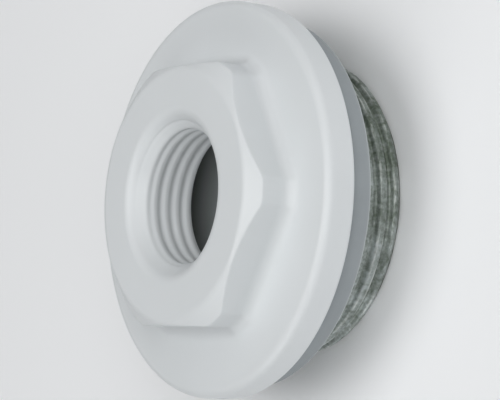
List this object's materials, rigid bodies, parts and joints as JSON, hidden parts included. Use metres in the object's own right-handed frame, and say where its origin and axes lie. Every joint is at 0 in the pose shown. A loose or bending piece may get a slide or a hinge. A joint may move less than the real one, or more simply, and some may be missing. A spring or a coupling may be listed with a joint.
{
  "type": "radiator reducing plug",
  "caption": "Flanged reducing plug with a chamfered hexagon, a male pipe thread behind a flat sealing ring, and a smaller female pipe thread through its middle.",
  "frame": {"origin": "on the axis, in the plane of the threaded end that the plug stands on", "axes": "+Z along the axis from the threaded end to the hexagon, +X through a corner of the hexagon, +Y square to a flat"},
  "size_m": [0.0556, 0.0554, 0.0242],
  "materials": {
    "white_coat": "satin",
    "silicone": "matte"
  },
  "bodies": {
    "root": {"plug_body": "white_coat", "sealing_ring": "silicone"}
  },
  "joints": []
}
